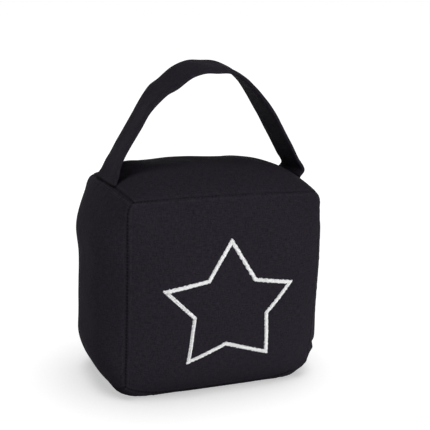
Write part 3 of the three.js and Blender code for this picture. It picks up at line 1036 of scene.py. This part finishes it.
inner_line, outer_line = (stepped(corners) for corners in outline_band(star_corners, UNDERLAY_HALF_WIDTH))
over = np.linspace(0, 1, UNDERLAY_SIDES)[None, :, None]
under_places = inner_line[:, None] + (outer_line - inner_line)[:, None] * over
under_height = UNDERLAY_HEIGHT * (1 - np.abs(2 * over[..., 0] - 1) ** 2.5) - UNDERLAY_SINK
under_split = np.repeat([i in SPLIT_ARMS for i in range(len(star_corners))], UNDERLAY_STEPS)[:, None]
under_height = np.where(under_split, UNDERLAY_HIDDEN, under_height)
under_points = over_front(under_places, under_height).reshape(-1, 3)
index = len(satin_points) + np.arange(len(under_points)).reshape(-1, UNDERLAY_SIDES)
star_points = np.concatenate([satin_points, under_points])
star_walls = np.concatenate([satin_walls, walls(index, np.roll(index, -1, axis=0))])
star = new_object("satin_star", star_points, star_walls)
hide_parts("embroidered_star")
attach(star, "root")
print("star: %d faces" % len(star_walls))

# %% [markdown]
# ## A small language for shader nodes
#
# Patterns such as a weave are sums and products, and they read best written that way. This class
# wraps one output of a node, so that + - * / between outputs and numbers make Math nodes, and
# Vector Math or Mix nodes where the output is a vector or a colour.

# %% Shader maths
class Wire:
    """One output of a shader node."""

    def __init__(self, shader, socket):
        self.shader = shader
        self.socket = socket

    def joined(self, name, left, right):
        kinds = [side.socket.type for side in (left, right) if isinstance(side, Wire)]
        if "RGBA" in kinds:
            sides = {6: as_colour(left), 7: as_colour(right), 0: 1.0}
            return self.shader.wire("Mix", 2, {"data_type": "RGBA", "blend_type": name}, sides)
        if "VECTOR" in kinds:
            sides = {0: as_vector(left), 1: as_vector(right)}
            return self.shader.wire("VectorMath", 0, {"operation": name}, sides)
        return self.shader.wire("Math", 0, {"operation": name}, {0: left, 1: right})

    def __add__(self, other):
        return self.joined("ADD", self, other)

    def __radd__(self, other):
        return self.joined("ADD", other, self)

    def __sub__(self, other):
        return self.joined("SUBTRACT", self, other)

    def __rsub__(self, other):
        return self.joined("SUBTRACT", other, self)

    def __mul__(self, other):
        return self.joined("MULTIPLY", self, other)

    def __rmul__(self, other):
        return self.joined("MULTIPLY", other, self)

    def __truediv__(self, other):
        return self.joined("DIVIDE", self, other)

    def __rtruediv__(self, other):
        return self.joined("DIVIDE", other, self)

    def maths(self, operation, *others):
        return self.shader.wire("Math", 0, {"operation": operation}, dict(enumerate((self, *others))))

    def apart(self):
        """The three parts of a vector."""
        node = self.shader.node("SeparateXYZ", None, {"Vector": self})
        return [Wire(self.shader, node.outputs[axis]) for axis in "XYZ"]


def as_colour(value):
    return (value, value, value, 1.0) if isinstance(value, (int, float)) else value


def as_vector(value):
    return (value, value, value) if isinstance(value, (int, float)) else value


class Shader:
    """The nodes of one material, or of the world."""

    def __init__(self, name, kept_in=bpy.data.materials):
        self.owner = kept_in.new(name)
        self.owner.use_nodes = True
        self.owner.node_tree.nodes.clear()

    def node(self, kind, settings=None, inputs=None):
        """Any node: its type, then its settings, then its inputs by name or number."""
        tree = self.owner.node_tree
        made = tree.nodes.new("ShaderNode" + kind)
        for name, value in (settings or {}).items():
            setattr(made, name, value)
        for name, value in (inputs or {}).items():
            if isinstance(value, Wire):
                tree.links.new(value.socket, made.inputs[name])
            else:
                made.inputs[name].default_value = value
        return made

    def wire(self, kind, output, settings=None, inputs=None):
        return Wire(self, self.node(kind, settings, inputs).outputs[output])

    def noise(self, place, scale, detail, output="Fac"):
        return self.wire("TexNoise", output, None, {"Vector": place, "Scale": scale, "Detail": detail})

    def dyed(self, shade, colour):
        """A colour made darker or lighter by a varying shade."""
        parts = {part: shade * share for part, share in zip(("Red", "Green", "Blue"), colour)}
        return self.wire("CombineColor", "Color", None, parts)

    def finish(self, surface, output="OutputMaterial"):
        self.node(output, None, {"Surface": surface})
        return self.owner


print("shader maths ready")

# %% [markdown]
# ## Black cotton cloth
#
# The cloth is a plain weave: warp threads run up, weft threads run across, and each passes over
# one and under the next. The height of a plain weave is a product of sines along the cloth map,
# which is in metres, so the threads keep their real size. Colour differs from thread to thread,
# because yarn is dyed unevenly and has thick places called slubs.

# %% The weave
THREAD_PITCH = 0.62 * MM
THREAD_ROUNDNESS = 0.7
SLUB_LENGTH = 0.22


def woven(shader, map_name):
    """Height of the weave and the yarn's unevenness, from a cloth map."""
    place = shader.wire("UVMap", "UV", {"uv_map": map_name})
    drift = shader.noise(place, 160.0, 2.0)
    along, round_about, _ = place.apart()
    across = ((along / THREAD_PITCH + drift * 0.9) * math.pi).maths("SINE")
    up = ((round_about / THREAD_PITCH + drift * 0.7) * math.pi).maths("SINE")
    over = (across * up).maths("SIGN") * 0.5 + 0.5
    wide_across, wide_up = across.maths("ABSOLUTE"), up.maths("ABSOLUTE")
    warp = wide_across.maths("POWER", THREAD_ROUNDNESS) * (wide_up * 0.55 + 0.45)
    weft = wide_up.maths("POWER", THREAD_ROUNDNESS) * (wide_across * 0.55 + 0.45)
    height = warp * over + weft * (1 - over)
    warp_yarn = shader.noise(place * (1 / THREAD_PITCH, SLUB_LENGTH / THREAD_PITCH, 1.0), 1.0, 2.0)
    weft_yarn = shader.noise(place * (SLUB_LENGTH / THREAD_PITCH, 1 / THREAD_PITCH, 1.0), 1.0, 2.0)
    return height, warp_yarn * over + weft_yarn * (1 - over)


print("threads of the cloth lie %.2f mm apart" % (THREAD_PITCH / MM))

# %% [markdown]
# ## Painted shade in the seams
#
# A seam is a deep narrow valley between fibres that stand on end. The shade in that valley is
# painted into the cloth's colour. It follows the distance to the seam and is deepest at each stitch
# dimple, and a painted highlight lightens the rolled edge beside it. Seams open and close along
# their way, so the depth of the painted shade changes: noise gives that in general, it is deeper
# beside the left corners and weaker along the front of the top, where the seam lies nearly closed.

# %% The shade in a seam
# Painted shade in the seam valleys and at the stitch dimples, and a painted highlight on the rolled edges
# beside them.
SEAM_SHADE_WIDTH = 0.42 * MM
SEAM_SHADE = 0.57
STITCH_SHADE = 0.36
SEAM_EDGE_AT = 1.15 * MM
SEAM_EDGE_WIDTH = 0.5 * MM
SEAM_EDGE_HIGHLIGHT = 0.14
# Where the painted seam shade is made deeper, where along the front of the top it is made weaker, and the
# least and most of its depth.
DEEPER_SHADE_ACROSS = (-56 * MM, 13 * MM)
FRONT_SEAM_DEEP = (-41.5 * MM, 7 * MM)
FRONT_SEAM_UP = (116.5 * MM, 5 * MM)
TOP_FRONT_SHADE_CUT = 0.55
SHADE_DEPTH_LEAST = 0.45
SHADE_DEPTH_MOST = 1.1


def close_to(value, middle, width):
    """One at a value and falling to nothing a width or two away from it."""
    return (-1 * ((value - middle) / width).maths("POWER", 2)).maths("EXPONENT")


def painted_seam_shade(shader):
    """Painted shade in the valley of a seam, darkest at its stitch dimples, and a painted highlight on the
    rolled edge beside it.
    """
    gaps = shader.wire("UVMap", "UV", {"uv_map": "gaps"}).apart()
    counts = shader.wire("UVMap", "UV", {"uv_map": "stitches"}).apart()
    place = shader.wire("TexCoord", "Object")
    across, deep, up = place.apart()
    # Masks for the depth of the painted shade: deeper on the left, weaker along the front of the top, and
    # wandering with noise.
    deeper_shade = close_to(across, *DEEPER_SHADE_ACROSS)
    weaker_shade = close_to(deep, *FRONT_SEAM_DEEP) * close_to(up, *FRONT_SEAM_UP) * (1 - deeper_shade) * TOP_FRONT_SHADE_CUT
    shade_wander = (shader.noise(place, 130.0, 1.0) - 0.5) * 3.2 + 0.85
    shade_depth = shade_wander.maths("MAXIMUM", SHADE_DEPTH_LEAST).maths("MAXIMUM", deeper_shade).maths("MINIMUM", SHADE_DEPTH_MOST)
    shade_depth = shade_depth * (1 - weaker_shade)
    shades = []
    for gap, count in zip(gaps[:2], counts[:2]):
        stitch = (count * 2 * math.pi).maths("COSINE")
        valley = close_to(gap, 0.0, SEAM_SHADE_WIDTH) * (SEAM_SHADE + stitch * STITCH_SHADE) * shade_depth
        shades.append(1 - valley + close_to(gap, SEAM_EDGE_AT, SEAM_EDGE_WIDTH) * SEAM_EDGE_HIGHLIGHT)
    return shades[0] * shades[1]


print("seam shade is %.2f mm wide" % (SEAM_SHADE_WIDTH / MM))

# %% The black cloth
BLACK = (0.0215, 0.0185, 0.0255)
CLOTH_LEAST = 0.66
WEAVE_DIP_SHADE = 0.48
YARN_CONTRAST = 1.7
PATCH_CONTRAST = 0.22
WEAVE_DEPTH = 0.16 * MM


def black_cloth(name, colour):
    shader = Shader(name)
    height, yarn = woven(shader, "cloth")
    place = shader.wire("TexCoord", "Object")
    yarn = yarn - 0.5
    patches = shader.noise(place, 26.0, 4.0) - 0.5
    # Colour follows the weave's height: painted shade darkens the dips between threads. The yarn and patch
    # terms are the cloth's own uneven colour.
    shade = CLOTH_LEAST + height * WEAVE_DIP_SHADE + yarn * YARN_CONTRAST + patches * PATCH_CONTRAST
    tint = shader.noise(place, 900.0, 1.0, "Color") * 0.24 + 0.88
    bumps = {"Strength": 0.65, "Distance": WEAVE_DEPTH, "Height": height + yarn * 0.8}
    return shader.finish(shader.wire("BsdfPrincipled", "BSDF", None, {
        # The base colour carries the painted seam shade and the painted highlight beside the seams.
        "Base Color": shader.dyed(shade * painted_seam_shade(shader), colour) * tint,
        "Roughness": 0.93 + yarn * 0.1,
        "Normal": shader.wire("Bump", "Normal", None, bumps),
        "Specular IOR Level": 0.03,
    }))


bag_cloth = black_cloth("black_cotton", BLACK)
strap_cloth = black_cloth("black_cotton_strap", BLACK)
bag.data.materials.append(bag_cloth)
strap.data.materials.append(strap_cloth)
print("cloth nodes:", len(bag_cloth.node_tree.nodes))

# %% [markdown]
# ## Threads
#
# Sewing thread is two or three twisted yarns, which shows as fine unevenness in its colour and on
# its surface. At this size two noises are enough, one for fibres and one for bundles of them. The
# white thread is polyester with a soft shine, the black one is duller.

# %% Thread materials
WHITE = (0.90, 0.90, 0.905)
SEAM_BLACK = (0.012, 0.011, 0.014)
FIBRES_IN_BUNDLE = 5
FIBRE_DEPTH = 0.05 * MM


def thread_finish(name, colour, contrast, roughness, shine, sheen, fibre_scale):
    shader = Shader(name)
    place = shader.wire("TexCoord", "Object")
    fibres = shader.noise(place, fibre_scale, 3.0)
    bundles = shader.noise(place, fibre_scale / FIBRES_IN_BUNDLE, 2.0)
    shade = 1 + (fibres - 0.5) * contrast + (bundles - 0.5) * contrast * 1.4
    bumps = {"Strength": 0.4, "Distance": FIBRE_DEPTH, "Height": fibres}
    return shader.finish(shader.wire("BsdfPrincipled", "BSDF", None, {
        "Base Color": shader.dyed(shade, colour), "Roughness": roughness,
        "Normal": shader.wire("Bump", "Normal", None, bumps),
        "Specular IOR Level": shine, "Sheen Weight": sheen, "Sheen Roughness": 0.4,
    }))


star.data.materials.append(thread_finish("white_satin_thread", WHITE, 0.30, 0.45, 0.4, 0.1, 5000.0))
seam_black = thread_finish("black_seam_thread", SEAM_BLACK, 0.5, 0.9, 0.15, 0.0, 4000.0)
seam_thread.data.materials.append(seam_black)
print("thread materials ready")

# %% [markdown]
# ## Floor, light and background
#
# The photograph was taken on white paper, which shows as pure white with a soft shadow on it. Here
# the paper's own colour does that where it is seen directly, and the shadow of the bag stays. The
# bag has light of its own: a large soft lamp low in front, a little to the right, another high on
# the left, and two weak ones for the right side and the back. The paper has light from above.

# %% The floor
FLOOR_SIZE = 12.0
FLOOR_WHITE = 0.80
FLOOR_GLOW = 0.52


def seen_directly(shader):
    """One for rays from the camera and for mirrored and refracted ones, nothing for the rest."""
    path = shader.node("LightPath")
    seen = Wire(shader, path.outputs["Is Camera Ray"])
    seen = seen.maths("MAXIMUM", Wire(shader, path.outputs["Is Glossy Ray"]))
    return seen.maths("MAXIMUM", Wire(shader, path.outputs["Is Transmission Ray"]))


edge = FLOOR_SIZE / 2
floor_points = np.array(((-edge, -edge, 0), (edge, -edge, 0), (edge, edge, 0), (-edge, edge, 0)))
floor = new_object("paper_floor", floor_points, np.array(((0, 1, 2, 3),)))
paper = Shader("white_paper")
diffuse = paper.wire("BsdfDiffuse", "BSDF", None, {"Color": (FLOOR_WHITE, FLOOR_WHITE, FLOOR_WHITE, 1)})
glow_strength = seen_directly(paper) * FLOOR_GLOW
glow = paper.wire("Emission", "Emission", None, {"Color": (1, 1, 1, 1), "Strength": glow_strength})
floor.data.materials.append(paper.finish(paper.wire("AddShader", "Shader", None, {0: diffuse, 1: glow})))
print("floor is %.0f m wide" % FLOOR_SIZE)

# %% The world and the lamps
WORLD_LIGHT = 0.03
FLOOR_LIGHT = 2.2
FLOOR_LIGHT_SPREAD = math.radians(56)
LAMP_DISTANCE = 1.4
BAG_LAMPS = (
    ("key_lamp", -15, 11, 0.6, 13.0),
    ("high_lamp", 84, 53, 0.5, 8.0),
    ("right_lamp", -120, 4, 0.6, 2.4),
    ("rear_lamp", -168, 3, 0.6, 2.6),
)
room = Shader("white_room", bpy.data.worlds)
seen = seen_directly(room)
strength = seen + (1 - seen) * WORLD_LIGHT
background = room.wire("Background", "Background", None, {"Color": (1, 1, 1, 1), "Strength": strength})
bpy.context.scene.world = room.finish(background, "OutputWorld")


def aimed_lamp(name, data, degrees_left, degrees_up, lit):
    """A lamp that looks at the bag from so far round and so high, and lights the things named."""
    lamp = bpy.data.objects.new(name, data)
    left, up = math.radians(degrees_left), math.radians(degrees_up)
    way = Vector((-math.sin(left) * math.cos(up), -math.cos(left) * math.cos(up), math.sin(up)))
    lamp.location = LOOKED_AT + way * LAMP_DISTANCE
    lamp.rotation_euler = way.to_track_quat("Z", "Y").to_euler()
    bpy.context.scene.collection.objects.link(lamp)
    receivers = bpy.data.collections.new(name + "_lights")
    for thing in lit:
        receivers.objects.link(thing)
    lamp.light_linking.receiver_collection = receivers
    return lamp


for name, degrees_left, degrees_up, size, power in BAG_LAMPS:
    data = bpy.data.lights.new(name, "AREA")
    data.shape = "DISK"
    data.size = size
    data.energy = power
    aimed_lamp(name, data, degrees_left, degrees_up, [bag, seam_thread, strap, star])
overhead = bpy.data.lights.new("overhead_light", "SUN")
overhead.energy = FLOOR_LIGHT
overhead.angle = FLOOR_LIGHT_SPREAD
aimed_lamp("overhead_light", overhead, -90, 85, [floor])
bpy.context.scene.view_settings.view_transform = "Standard"
print("lamps:", {lamp.name: lamp.energy for lamp in bpy.data.lights})
